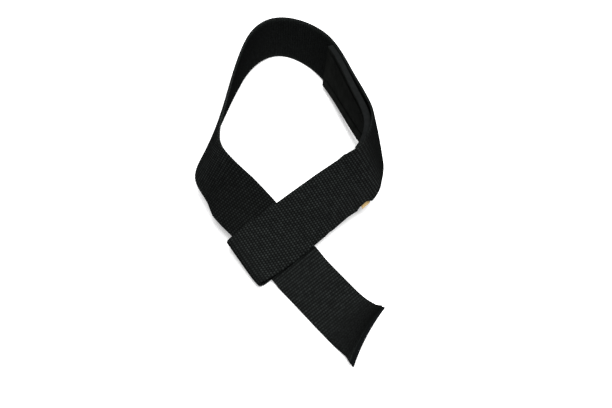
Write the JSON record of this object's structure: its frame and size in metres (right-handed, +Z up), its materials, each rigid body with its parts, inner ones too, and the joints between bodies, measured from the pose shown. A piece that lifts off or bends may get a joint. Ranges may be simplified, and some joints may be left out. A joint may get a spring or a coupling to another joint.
{
  "type": "weightlifting strap",
  "caption": "Webbing lifting strap lying on a surface: one end is sewn into an eye, the strap runs through it to form a padded wrist loop, and the free tail curls up at its end.",
  "frame": {"origin": "on the surface that the strap lies on, under the middle of its bounding box", "axes": "+Y from the tail to the far side of the wrist loop, +Z up"},
  "size_m": [0.1302, 0.2638, 0.0568],
  "materials": {
    "webbing": "matt ribbed weave",
    "pad": "matt, with lighter cut foam edges",
    "tab": "plain weave"
  },
  "bodies": {
    "root": {"strap_webbing": "webbing", "wrist_pad": "pad", "side_tab": "tab"}
  },
  "joints": []
}
